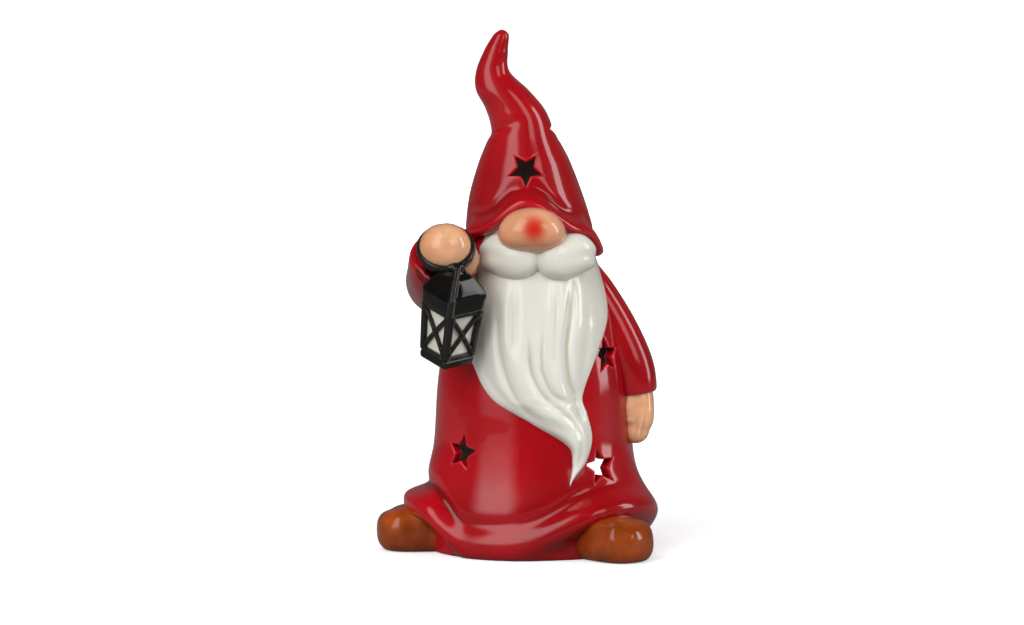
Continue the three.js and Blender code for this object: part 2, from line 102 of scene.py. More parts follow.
def ball(p, centre, radii, power=2.0):
    """A rounded lump: about how far p lies outside an ellipsoid."""
    q = [np.abs(d) / r for d, r in zip(gaps(p, centre), radii)]
    rho = (q[0] ** power + q[1] ** power + q[2] ** power) ** (1 / power)
    return (rho - 1) * min(radii)


def catmull(places):
    """A Catmull-Rom curve through places, and its slope, for arrays of parameters from 0 to 1."""
    pts = np.array(places, float)
    pts = np.vstack([2 * pts[0] - pts[1], pts, 2 * pts[-1] - pts[-2]])
    spans = len(places) - 1

    def curve(t):
        run = np.clip(t, 0, 1) * spans
        i = np.minimum(run.astype(int), spans - 1)
        s = (run - i)[..., None]
        a, b, c, d = (pts[i + k] for k in range(4))
        bend, twist = 2 * a - 5 * b + 4 * c - d, 3 * b - 3 * c + d - a
        place = 0.5 * (2 * b + (c - a) * s + bend * s**2 + twist * s**3)
        slope = 0.5 * spans * ((c - a) + 2 * bend * s + 3 * twist * s**2)
        return place, slope

    return curve


def limb(p, places, radii, squash=(1, 1, 1)):
    """A round limb along a smooth curve, with its radius in pairs along it."""
    size = through(*radii)
    curve = catmull(places)
    p = np.stack(np.broadcast_arrays(*p), -1)
    nearest, t = None, None
    for share in np.linspace(0, 1, 17):
        gap = ((p - curve(np.array(share))[0]) ** 2).sum(-1)
        t = np.full(gap.shape, share) if nearest is None else np.where(gap < nearest, share, t)
        nearest = gap if nearest is None else np.minimum(gap, nearest)
    for _ in range(3):
        place, slope = curve(t)
        t = np.clip(t + ((p - place) * slope).sum(-1) / (slope**2).sum(-1), 0, 1)
    place, _ = curve(t)
    gap = np.sqrt((((p - place) / np.array(squash)) ** 2).sum(-1))
    return (gap - size(t)) * min(squash)


def rounded_box(q, half, radius):
    """How far q lies outside a box with rounded edges."""
    d = [np.abs(c) - h + radius for c, h in zip(q, half)]
    outside = np.sqrt(sum(np.maximum(c, 0) ** 2 for c in d))
    return outside + np.minimum(np.maximum(np.maximum(d[0], d[1]), d[2]), 0) - radius


def bar(q, a, b, radius):
    """How far q lies outside a round bar from a to b."""
    a, b = np.array(a, float), np.array(b, float)
    axis = b - a
    d = [q[i] - a[i] for i in range(3)]
    t = np.clip(sum(d[i] * axis[i] for i in range(3)) / (axis @ axis), 0, 1)
    return np.sqrt(sum((d[i] - t * axis[i]) ** 2 for i in range(3))) - radius


# ---------------------------------------------------------------- robe and hat fields

robe_half_width = through(
    (0, 50), (24, 50.5), (50, 47.8), (84, 45.6), (112, 40), (136, 32), (155, 26), (172, 22)
)
robe_half_depth = through(
    (0, 45.5), (24, 44), (50, 41.5), (84, 39), (112, 35.5), (136, 31), (155, 26), (172, 22)
)
robe_centre = through((0, 0), (110, 0), (172, -3.3))
ROBE_WALL = 5
FLOOR = 5
NECK = 172
LEFT_BOOT = math.radians(-86)
RIGHT_BOOT = math.radians(44)
RIGHT_SIDE = math.radians(92)
HEM_CREST = 6
HEM_RISE = 17.5
HEM_ROLL = 3.6
HEM_SWELL = 8
DOOR_BEARING = math.radians(162)
DOOR_WIDTH = 54
DOOR_HEIGHT = 52


def hem_lift(bearing):
    """How far the hem is lifted over the boots and at its right side, from 0 to 1."""
    left = np.exp(-((wrap(bearing - LEFT_BOOT) / 0.62) ** 4))
    right = hump(wrap(bearing - RIGHT_BOOT), 0.55)
    side = 0.46 * hump(wrap(bearing - math.radians(95)), 0.75)
    return np.tanh(1.2 * (left + right + side)) / math.tanh(1.2)


def hem_bulge(bearing, z):
    """The rolled hem: a full roll with a crease above it, and a sweep of the robe into that crease."""
    lift = hem_lift(bearing)
    crest = HEM_CREST + HEM_RISE * lift
    over = hump(wrap(bearing - LEFT_BOOT), 0.7)
    side = hump(wrap(bearing - RIGHT_SIDE), 0.6)
    width = 8 - 0.6 * lift - over + 4.9 * side
    power = 2.6 + 1.4 * over - 0.6 * side
    roll = (HEM_ROLL + HEM_SWELL * lift) * np.exp(-np.abs((z - crest) / width) ** power)
    crease = (0.54 * hump(wrap(bearing - RIGHT_SIDE), 0.5) - 0.6) * hump(z - crest - 9.8, 3)
    sweep = (1.3 - 0.8 * side) * hump(z - crest - 15, 9)
    return roll + crease + sweep


def robe_gap(p, inset=0.0, plain=False):
    """About how far p lies outside the robe's skin, measured square to its axis."""
    x, y, z = p
    cx, a, b = robe_centre(z), robe_half_width(z) - inset, robe_half_depth(z) - inset
    bearing = np.arctan2((x - cx) / a, -y / b)
    bulge = 0 if plain else hem_bulge(bearing, z)
    return np.hypot(x - cx, y) - np.hypot((a + bulge) * np.sin(bearing), (b + bulge) * np.cos(bearing))


def outside_robe(field, p):
    """Ends a piece that grows out of the robe half way through the robe's wall."""
    return np.maximum(field, -robe_gap(p, 2.5, plain=True))


STAR_TIP = 8.1
STAR_WAIST = 3.9


def star_gap(p, bearing, height, middle=0.0, spin=0.0, pitch=0.0, reach=40.0):
    """A five-pointed prism through the wall, negative inside it."""
    b, k, s = math.radians(bearing), math.radians(pitch), math.radians(spin)
    d = gaps(p, (middle, 0, height - reach * math.tan(k)))
    out = (math.cos(k) * math.sin(b), -math.cos(k) * math.cos(b), math.sin(k))
    up = (-math.sin(k) * math.sin(b), math.sin(k) * math.cos(b), math.cos(k))
    side = (math.cos(b), math.sin(b), 0)
    u, v, t = (sum(d[i] * e[i] for i in range(3)) for e in (side, up, out))
    angle = np.arctan2(u, v) - s
    rho = np.hypot(u, v)
    angle = np.abs(np.mod(angle + math.pi / 5, 2 * math.pi / 5) - math.pi / 5)
    tip = np.array([STAR_TIP, 0.0])
    waist = STAR_WAIST * np.array([math.cos(math.pi / 5), math.sin(math.pi / 5)])
    edge = waist - tip
    normal = np.array([edge[1], -edge[0]]) / np.hypot(*edge)
    gap = (rho * np.cos(angle) - tip[0]) * normal[0] + rho * np.sin(angle) * normal[1]
    return np.maximum(gap, 6 - t)


ROBE_STARS = [
    dict(bearing=-50, height=50, spin=8),
    dict(bearing=45, height=43.5, spin=-6),
    dict(bearing=57.5, height=96),
    dict(bearing=-140, height=98),
]
HAT_STARS = [
    dict(bearing=2, height=185.5, middle=-4.3, spin=180, pitch=24, reach=24),
    dict(bearing=101, height=201.5, middle=-5, pitch=20, reach=16),
    dict(bearing=-140, height=190, middle=-4.6, pitch=22, reach=21),
]


def door_gap(p):
    """The arched rear doorway, negative inside it."""
    x, y, z = p
    side = x * math.cos(DOOR_BEARING) + y * math.sin(DOOR_BEARING)
    out = x * math.sin(DOOR_BEARING) - y * math.cos(DOOR_BEARING)
    half = DOOR_WIDTH / 2
    spring = FLOOR + DOOR_HEIGHT - half
    arch = np.where(z > spring, np.hypot(side, z - spring) - half, np.abs(side) - half)
    return smax(smax(arch, FLOOR - z, 0.8), -out, 1)


def robe_field(p):
    z = p[2]
    outer = smax(smax(robe_gap(p), -z, 2.2), z - NECK, 1)
    field = smax(outer, -smax(robe_gap(p, ROBE_WALL, plain=True), FLOOR - z, 2), 1.2)
    field = smax(field, -door_gap(p), 1.6)
    for star in ROBE_STARS:
        field = smax(field, -star_gap(p, **star), 1.1)
    return field


hat_half_width = through(
    (141, 32.4), (160, 29.6), (172, 26.8), (187, 21.7), (202, 15.2), (212, 14.1),
    (221, 12.6), (230, 8), (240, 5.7), (247, 3.9), (250, 2.6),
)
hat_half_depth = through(
    (141, 33.4), (160, 30.5), (172, 27.4), (187, 21.5), (202, 15), (212, 12.6),
    (221, 10.6), (230, 7.4), (240, 5.5), (247, 3.7), (250, 2.6),
)
hat_centre = through(
    (141, -1), (172, -3.3), (202, -5.2), (212, -8.6), (221, -14.7), (230, -19.2), (240, -17.6), (250, -14.8)
)
HAT_WALL = 4
HOLLOW_TOP = 216
BRIM_BACK = 141
BRIM_RISE = 11
ARCH_RISE = 14.2
TIP = 250


def brim_height(bearing):
    """The height of the brim's edge: level behind, raised in front, and arched over the nose."""
    return BRIM_BACK + BRIM_RISE * step_up(np.cos(bearing), 0, 0.6) + ARCH_RISE * hump(wrap(bearing), 0.5)


def over_brim(bearing, z):
    """How far z lies above the brim's edge, measured square to the edge."""
    slope = (brim_height(bearing + 0.02) - brim_height(bearing - 0.02)) / 0.04 / 33
    return (z - brim_height(bearing)) / np.sqrt(1 + slope**2)


def hat_gap(p, inset=0.0, plain=False):
    x, y, z = p
    cx, a, b = hat_centre(z), hat_half_width(z) - inset, hat_half_depth(z) - inset
    bearing = np.arctan2((x - cx) / a, -y / b)
    roll = 0 if plain else hat_roll(bearing, z)
    return np.hypot(x - cx, y) - np.hypot((a + roll) * np.sin(bearing), (b + roll) * np.cos(bearing))


def hat_roll(bearing, z):
    """The brim's rolled lip, the shallow groove above it, and the soft folds where the hat bends."""
    above = over_brim(bearing, z)
    side = np.abs(np.sin(bearing))
    lip = (4.7 - 2 * side) * np.exp(-np.abs((above - 3) / (4.1 + 0.7 * side)) ** 2.4)
    groove = hump(above - 10.2, 3)
    fold = 0.9 * hump(z - 204.5 - 5 * np.sin(bearing + 0.5), 2.6)
    return lip - groove - fold * step_up(np.cos(bearing + 1.1), 0.1, 0.9)


def hat_field(p):
    x, y, z = p
    a, b = hat_half_width(z), hat_half_depth(z)
    bearing = np.arctan2((x - hat_centre(z)) / a, -y / b)
    outer = smax(hat_gap(p), -over_brim(bearing, z), 3.6)
    outer = smax(outer, z - TIP, 3.5)
    field = smax(outer, -np.maximum(robe_gap(p, plain=True) - 0.2, z - NECK), 0.8)
    hollow = np.maximum(hat_gap(p, HAT_WALL, plain=True), np.maximum(NECK - 1 - z, z - HOLLOW_TOP))
    field = smax(field, -hollow, 1)
    for star in HAT_STARS:
        field = smax(field, -star_gap(p, **star), 1.1)
    return field


# ---------------------------------------------------------------- beard, moustache and nose fields

beard_left = through(
    (35, 17.2), (46, 18.6), (54, 16.5), (65, -0.5), (76, -19),
    (92, -28.5), (104, -32), (125, -30), (146, -25), (164, -20),
)
beard_right = through(
    (35, 18), (46, 25.2), (57, 28.1), (69, 25.7), (77, 23.4), (96, 30), (115, 35.7), (146, 30.5), (164, 24)
)
BEARD_TIP = 34.5
BEARD_TOP = 163
beard_thickness = through((35, 2.5), (60, 5.2), (100, 7.2), (140, 7.5), (164, 5))


# Grooves between the beard's locks: x against z, depth, half width, and the heights where it fades out.
GROOVES = [
    (
        through((60, 24.6), (72, 21.8), (80, 19.2), (86, 17), (100, 15.6), (115, 17.2), (135, 18.6)),
        2.3, 1.5, 62, 137,
    ),
    (through((74, 24), (90, 24.2), (110, 26.6), (130, 26)), 0.9, 1.6, 80, 132),
    (
        through((60, 9), (72, -4), (80, -9), (90, -13), (100, -15.6), (111, -16.6), (130, -17)),
        1.5, 1.5, 64, 130,
    ),
    (
        through((64, 19.5), (72, 13.5), (77, 6.8), (84, 2), (92, -0.8), (105, -1.8), (125, -2.4)),
        1.7, 1.5, 60, 114,
    ),
    (
        through((66, 22.6), (74, 17.5), (79, 10), (86, 6), (92, 4.2), (105, 4.2), (120, 5.4)),
        1.3, 1.4, 62, 118,
    ),
    (through((40, 20), (50, 23), (58, 23.2), (66, 19), (72, 12), (78, 1)), 1.2, 1.3, 41, 74),
    (through((58, 15), (66, 2), (76, -13), (90, -23), (105, -25.6), (125, -24)), 1.0, 1.5, 60, 128),
    (through((95, -9.4), (120, -9.2), (138, -8.2)), 0.9, 1.7, 96, 138),
    (through((88, 10.4), (100, 9.8), (115, 10.6), (138, 10.2)), 1.1, 1.5, 88, 138),
    (through((82, -19.6), (95, -21), (115, -21.6), (138, -19.6)), 0.7, 1.5, 84, 136),
    (through((96, 29.6), (112, 31.6), (138, 28.4)), 0.7, 1.5, 98, 134),
    (through((44, 24.2), (52, 26), (60, 26.4), (70, 23.6), (80, 22.2)), 0.7, 1.1, 45, 80),
]


def locks(x, z):
    """Carved locks: each groove cuts in, and the lock on its left swells over it."""
    total = 0
    for place, depth, width, low, high in GROOVES:
        slope = place(z + 0.5) - place(z - 0.5)
        off = (x - place(z)) / np.sqrt(1 + slope**2) / width / 1.35
        fade = step_up(z, low, low + 10) * step_up(-z, -high, 22 - high)
        profile = 0.55 * hump(off + 2.3, 1.7) - hump(off, 1) + 0.25 * hump(off - 2.2, 1.5)
        total = total + 0.9 * depth * fade * profile
    return total


def beard_field(p):
    x, z = p[0], p[2]
    left, right = beard_left(z), beard_right(z)
    middle, half = (left + right) / 2, np.maximum(0.3, (right - left) / 2)
    u = (x - middle) / half
    thick = beard_thickness(z)
    inside = np.clip(1 - np.abs(u) ** 3, 0, 1)
    height = thick * (0.42 + 0.58 * inside) * np.sqrt(inside) + locks(x, z) * np.sqrt(inside)
    beyond = np.maximum(0, np.abs(u) - 1) * half
    gap = robe_gap(p, plain=True)
    field = smax(gap - height + 1.6 * beyond, -gap - 2, 1)
    field = smax(field, BEARD_TIP - z, 1)
    return np.maximum(field, z - BEARD_TOP)


def cushion(p, side):
    """One lobe of the moustache, its outer end turned back round the cheek."""
    turn = math.radians(31) * side
    d = gaps(p, (2.2 + side * 13.3, -32.5, 144.6))
    along = d[0] * math.cos(turn) + d[1] * math.sin(turn)
    ahead = d[1] * math.cos(turn) - d[0] * math.sin(turn)
    rise = d[2] - 1.6 * hump(along * side - 9, 9) + 1.2
    rho = (np.abs(along / 15.3) ** 2.5 + np.abs(ahead / 9) ** 2.4 + np.abs(rise / 10.6) ** 2.4) ** (1 / 2.4)
    wave = 0.22 * np.sin(rise * 0.75 + along * 0.12 * side + 0.6) * step_up(along * side, -6, 8)
    return (rho - 1) * 9.4 + wave


def moustache_field(side):
    def field(p):
        both = smin(cushion(p, side), cushion(p, -side), 1.5)
        bearing = np.arctan2(p[0] + 2, -p[1])
        tucked = smax(hat_gap(p) - 0.3, -over_brim(bearing, p[2]), 2)
        both = smax(both, -tucked, 0.8)
        return np.maximum(both, side * (2.2 - p[0]) - 0.02)

    return field


def nose_field(p):
    x, y, z = p
    return ball((x * (1 + 0.012 * (z - 157)), y, z), (-0.6, -37, 157), (16, 13.5, 10.8), 2.15)


# ---------------------------------------------------------------- arms and hands

FIST = (-41.5, -45, 149.5)
RING_LEAN = math.radians(44)


def before_ring(p):
    """How far p lies in front of the carrying ring's plane."""
    return (FIST[1] - p[1]) * math.cos(RING_LEAN) + (p[2] - FIST[2]) * math.sin(RING_LEAN)


def hanging_sleeve_field(p):
    places = [(20, 2, 138), (29.5, 0, 124), (39.6, -2, 106), (47.2, -4, 88), (49.8, -5, 73)]
    form = limb(p, places, [(0, 8.5), (0.3, 10), (0.65, 11), (0.9, 10.5), (1, 9.8)])
    x, z = p[0], p[2]
    form = smax(form, 75.8 - z + 0.1 * (x - 50), 2.2)
    pocket = ball(p, (50.3, -5.4, 73), (8, 7.8, 5))
    return outside_robe(smax(form, -pocket, 1.2), p)


def hanging_hand_field(p):
    places = [(50.2, -5, 80), (50.4, -6, 71), (50.2, -7, 64), (49.2, -7.5, 58.4)]
    palm = limb(p, places, [(0, 7), (0.3, 7.7), (0.7, 7.7), (1, 6.6)], (1, 0.9, 1))
    thumb_places = [(47.4, -8.6, 76), (46.2, -10.4, 70), (46.8, -11.6, 64.5)]
    thumb = limb(p, thumb_places, [(0, 2.6), (0.5, 3), (1, 2.4)])
    hand = smin(palm, thumb, 1.8)
    x, y, z = p
    for across, top in ((-0.2, 66), (3.4, 64)):
        crease = np.hypot(x - 50 - across - 0.16 * (z - 62), (y + 14.4 - 0.1 * across**2) * 0.8)
        hand = smax(hand, -(crease - 0.6 * step_up(top - z, 0, 6)), 1.6)
    return hand


def raised_sleeve_field(p):
    places = [(-24, 3, 131), (-36, 1, 128.5), (-44.6, -11, 129.5), (-43.4, -31, 136.5), (-42.2, -48, 149)]
    form = limb(p, places, [(0, 12), (0.35, 14.4), (0.6, 15.8), (0.8, 16.2), (1, 15.6)])
    form = smax(form, before_ring(p) + 3.4 + 0.8 * np.maximum(0, p[0] + 43), 2.6)
    pocket = ball(p, (-41.5, -44, 148), (12.2, 12, 11.6))
    return outside_robe(smax(form, -pocket, 1.4), p)


def raised_hand_field(p):
    fist = ball(p, FIST, (12.3, 12, 11.6), 2.1)
    wrist_places = [(-43, -20, 135), (-37.5, -31, 140), (-34.5, -38, 143.5)]
    wrist = limb(p, wrist_places, [(0, 11), (0.5, 11.4), (1, 9)])
    hand = smin(fist, wrist, 1.6)
    curl = np.abs(gaps(p, FIST)[0] - 4.5 + 0.05 * gaps(p, FIST)[2] ** 2)
    return hand + 0.22 * hump(curl, 1.8) * step_up(p[2], 146, 152)


# ---------------------------------------------------------------- boots


def boot_field(bearing):
    def field(p):
        x, y, z = p
        along = x * math.sin(bearing) - y * math.cos(bearing)
        across = x * math.cos(bearing) + y * math.sin(bearing)
        toe = np.maximum(0, along - 57) / 18
        width = 14.6 - 1.2 * step_up(56 - along, 0, 20)
        up = (z - 9) / np.where(z > 9, 12.6 - 0.8 * step_up(along, 60, 74), 11.5)
        rho = (toe**2.7 + np.abs(across / width) ** 2.5 + np.abs(up) ** 2.7) ** (1 / 2.6)
        form = (rho - 1) * 12 + 0.3 * np.sin(along * 0.5 + across * 0.25) * hump(z - 17, 8)
        form = smax(form, -z, 1.2)
        return outside_robe(form, p)

    return field


# ---------------------------------------------------------------- lantern, in its own upright frame

LANTERN_PLACE = (-41.2, -41, 95.5)
LANTERN_ROTATION = (
    Matrix.Rotation(math.radians(7), 3, "Y")
    @ Matrix.Rotation(math.radians(17), 3, "X")
    @ Matrix.Rotation(math.radians(42), 3, "Z")
)
SIDE, CAGE, PLATE, ROOF = 19.6, 24, 4.5, 19


def in_lantern(p):
    r = LANTERN_ROTATION.transposed()
    d = gaps(p, LANTERN_PLACE)
    return [sum(r[i][j] * d[j] for j in range(3)) for i in range(3)]


def lantern_point(x, y, z):
    return tuple(Vector(LANTERN_PLACE) + LANTERN_ROTATION @ Vector((x, y, z)))


def tapered(q):
    """The lantern narrows towards its foot: every level is scaled about its upright axis."""
    share = 1 + 0.08 * (2 * q[2] / (PLATE + CAGE) - 1)
    return [q[0] / share, q[1] / share, q[2]]


def plate_field(p):
    q = tapered(in_lantern(p))
    field = rounded_box((q[0], q[1], q[2] - PLATE / 2), (SIDE / 2 + 0.3, SIDE / 2 + 0.3, PLATE / 2), 1.8)
    foot = ball(q, (SIDE / 2 - 0.4, -SIDE / 2 + 5, 1.6), (3, 2.4, 1.8))
    return smin(field, foot, 1)


def cage_field(p):
    q = tapered(in_lantern(p))
    half, low, high = SIDE / 2, PLATE, PLATE + CAGE
    field = None
    for sx in (-1, 1):
        for sy in (-1, 1):
            place = (q[0] - sx * (half - 1.5), q[1] - sy * (half - 1.5), q[2] - (low + high) / 2)
            post = rounded_box(place, (1.8, 1.8, CAGE / 2), 1.1)
            field = post if field is None else np.minimum(field, post)
    for k in range(4):
        c, s = math.cos(k * math.pi / 2), math.sin(k * math.pi / 2)
        u, v = q[0] * c + q[1] * s, -q[0] * s + q[1] * c
        face = (u, v + half - 0.9, q[2])
        for sign in (-1, 1):
            cross = bar(face, (-sign * (half - 1.5), 0, low + 1.2), (sign * (half - 1.5), 0, high - 1), 1.2)
            field = smin(field, cross, 0.8)
        for level in (low + 0.9, high - 0.9):
            rail = rounded_box((u, v + half - 1.1, q[2] - level), (half - 1, 1.2, 1.1), 0.6)
            field = smin(field, rail, 0.8)
    return field


def core_field(p):
    q = tapered(in_lantern(p))
    half = SIDE / 2 - 1.5
    return rounded_box((q[0], q[1], q[2] - PLATE - CAGE / 2), (half, half, CAGE / 2 - 0.2), 0.8)


def roof_field(p):
    q = in_lantern(p)
    z = q[2] - PLATE - CAGE
    half = through((-1, 11.4), (0, 11.6), (6, 11.6), (8, 11.2), (11, 9.9), (15, 6.8), (19, 2.8))(z)
    power = 7 - 2.6 * step_up(z, 6, 14)
    reach = (np.abs(q[0]) ** power + np.abs(q[1]) ** power) ** (1 / power)
    slope = np.where(z > 7, 0.75, 1.0)
    field = smax(smax((reach - half) * slope, z - ROOF, 1), 0.1 - z, 1.2)
    angle = np.arctan2(q[1], q[0])
    hip = np.abs(wrap(4 * angle + math.pi)) / 4
    ridge = step_up(z, 4, 8) * 0.5 * hump(hip * (reach + 0.3), 1.2)
    strap = None
    corners = ((2.4, 19), (5.7, 15), (8.4, 11.2), (10.3, 7.4), (10.5, 0.6))
    for (a, low), (b, high) in zip(corners[1:], corners[:-1]):
        part = bar((q[0], q[1], z), (-a, -a, low), (-b, -b, high), 1.5)
        strap = part if strap is None else smin(strap, part, 0.4)
    return smin(field - ridge, strap, 0.7)


def handle_field(p):
    d = gaps(p, FIST)
    c, s = math.cos(RING_LEAN), math.sin(RING_LEAN)
    level = before_ring(p) + 0.5
    across = d[1] * s + d[2] * c
    ring = np.hypot(d[0] - 0.3, across + 0.4) - 12.6
    loop = (np.abs(ring / 1.5) ** 2.4 + np.abs(level / 2.5) ** 2.4) ** (1 / 2.4)
    field = (loop - 1) * 1.5
    low = (FIST[0] + 4, FIST[1] - 12.0 * s, FIST[2] - 12.0 * c)
    peak = lantern_point(0, 0, PLATE + CAGE + ROOF - 1)
    field = smin(field, bar(p, low, peak, 2.4), 1.6)
    right = (FIST[0] + 10.5, FIST[1] - 6.4 * s, FIST[2] - 6.4 * c)
    field = smin(field, bar(p, right, peak, 1.5), 1.4)
    return field


# ---------------------------------------------------------------- meshes from fields

STAR_REACH = 11


def evaluate(field, pts):
    return field((pts[:, 0], pts[:, 1], pts[:, 2]))


def slope_of(field, pts, eps):
    grad = np.empty_like(pts)
    mean = np.zeros(len(pts))
    for i in range(3):
        shift = np.zeros(3)
        shift[i] = eps
        hi, lo = evaluate(field, pts + shift), evaluate(field, pts - shift)
        grad[:, i] = (hi - lo) / (2 * eps)
        mean += hi + lo
    return grad, mean / 6


def settle(field, pts, reach, rounds=3):
    """Moves points onto the surface, along the field's slope, by no more than reach a round."""
    for _ in range(rounds):
        value = evaluate(field, pts)
        grad, _ = slope_of(field, pts, 0.05)
        size = np.maximum(1e-6, (grad**2).sum(1))
        move = value / size
        length = np.abs(move) * np.sqrt(size)
        move = move * np.minimum(1, reach / np.maximum(length, 1e-9))
        pts = pts - grad * move[:, None]
    return pts


def skin(field, low, high, step):
    """The closed surface where the field is 0, as points and quads."""
    axes = [np.arange(a - 2 * step, b + 2 * step, step) for a, b in zip(low, high)]
    values = np.empty([len(a) for a in axes], np.float32)
    for k in range(0, len(axes[0]), 16):
        gx, gy, gz = np.meshgrid(axes[0][k : k + 16], axes[1], axes[2], indexing="ij")
        values[k : k + 16] = field((gx, gy, gz))
    grid = openvdb.FloatGrid(10.0)
    grid.copyFromArray(np.clip(values, -10, 10))
    points, quads = grid.convertToQuads(0.0)
    points = points * step + np.array([a[0] for a in axes])
    return points.astype(np.float64), quads


def put(obj, body, slot, material):
    """Shows a fine mesh in place of the CAD node that it is named after."""
    bpy.context.scene.collection.objects.link(obj)
    obj.data.materials.append(material)
    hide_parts(obj.name.removeprefix("fine_"))
    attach(obj, body)


def shape(mesh, field, pts):
    """Smooth normals from the field's own slope, and an attribute that is high in creases, low on edges."""
    grad, _ = slope_of(field, pts, 0.06)
    normals = grad / np.maximum(1e-9, np.linalg.norm(grad, axis=1))[:, None]
    for poly in mesh.polygons:
        poly.use_smooth = True
    mesh.normals_split_custom_set_from_vertices([tuple(n) for n in normals])
    wide, mean = slope_of(field, pts, 1.6)
    size = np.maximum(0.3, np.linalg.norm(wide, axis=1))
    layer = mesh.attributes.new("crease", "FLOAT", "POINT")
    layer.data.foreach_set("value", np.clip(-mean / size / 1.6 * 6, -1, 1).astype(np.float32))


def mark_inside(mesh, depth, points):
    """An attribute that is 1 where the bare clay inside a hollow piece shows."""
    layer = mesh.attributes.new("bare", "FLOAT", "POINT")
    layer.data.foreach_set("value", step_up(-evaluate(depth, points), 0, 1).astype(np.float32))


def refine(mesh, spots):
    """Cuts each face near the spots into nine, for the sharp corners of the star windows."""
    bm = bmesh.new()
    bm.from_mesh(mesh)
    centres = [Vector(spot) * MM for spot in spots]
    near = []
    for edge in bm.edges:
        middle = (edge.verts[0].co + edge.verts[1].co) / 2
        if min((middle - centre).length for centre in centres) < STAR_REACH * MM:
            near.append(edge)
    bmesh.ops.subdivide_edges(bm, edges=near, cuts=2, use_grid_fill=True)
    bm.to_mesh(mesh)
    bm.free()


def sculpt(name, field, low, high, step, material, slot, spots=(), bare=None):
    """The fine mesh of a field, finer near the spots, with its clay bare where the field bare is negative."""
    step = step
    points, quads = skin(field, low, high, step)
    points = settle(field, points, step * 0.6)
    mesh = bpy.data.meshes.new(name)
    mesh.from_pydata((points * MM).tolist(), [], quads.tolist())
    mesh.update()
    if spots:
        refine(mesh, spots)
        points = np.array([v.co[:] for v in mesh.vertices]) / MM
        points = settle(field, points, step * 0.3)
        mesh.vertices.foreach_set("co", (points * MM).ravel())
        mesh.update()
    grad, _ = slope_of(field, points[:50], 0.1)
    if sum(np.dot(mesh.vertices[i].normal, grad[i]) for i in range(50)) < 0:
        mesh.flip_normals()
    shape(mesh, field, points)
    if bare:
        mark_inside(mesh, bare, points)
    put(bpy.data.objects.new(name, mesh), "gnome", slot, material)


# ---------------------------------------------------------------- materials


def new_material(name):
    mat = bpy.data.materials.new(name)
    mat.use_nodes = True
    tree = mat.node_tree
    return mat, tree, tree.nodes["Principled BSDF"]


def noise(tree, scale, detail, rough=0.55):
    coords = tree.nodes.new("ShaderNodeTexCoord")
    node = tree.nodes.new("ShaderNodeTexNoise")
    node.inputs["Scale"].default_value = scale
    node.inputs["Detail"].default_value = detail
    node.inputs["Roughness"].default_value = rough
    tree.links.new(coords.outputs["Object"], node.inputs["Vector"])
    return node.outputs["Fac"]


def mix(tree, factor, a, b):
    """The colour between a and b, each a colour or a socket."""
    node = tree.nodes.new("ShaderNodeMix")
    node.data_type = "RGBA"
    kinds = {"Factor": "VALUE", "A": "RGBA", "B": "RGBA"}
    for key, value in (("Factor", factor), ("A", a), ("B", b)):
        socket = next(s for s in node.inputs if s.name == key and s.type == kinds[key])
        if hasattr(value, "is_output"):
            tree.links.new(value, socket)
        elif key == "Factor":
            socket.default_value = value
        else:
            socket.default_value = (*value, 1)
    return next(s for s in node.outputs if s.type == "RGBA")


def spread(tree, source, low, high, to_low=0.0, to_high=1.0):
    node = tree.nodes.new("ShaderNodeMapRange")
    node.interpolation_type = "SMOOTHSTEP"
    for key, value in (("From Min", low), ("From Max", high), ("To Min", to_low), ("To Max", to_high)):
        node.inputs[key].default_value = value
    tree.links.new(source, node.inputs["Value"])
    return node.outputs["Result"]


def attribute(tree, name):
    node = tree.nodes.new("ShaderNodeAttribute")
    node.attribute_name = name
    return node.outputs["Fac"]


def ripple(tree, shader, scale, strength, distance=0.0006):
    bump = tree.nodes.new("ShaderNodeBump")
    bump.inputs["Strength"].default_value = strength
    bump.inputs["Distance"].default_value = distance
    tree.links.new(noise(tree, scale, 2.0), bump.inputs["Height"])
    tree.links.new(bump.outputs["Normal"], shader.inputs["Normal"])
    tree.links.new(bump.outputs["Normal"], shader.inputs["Coat Normal"])


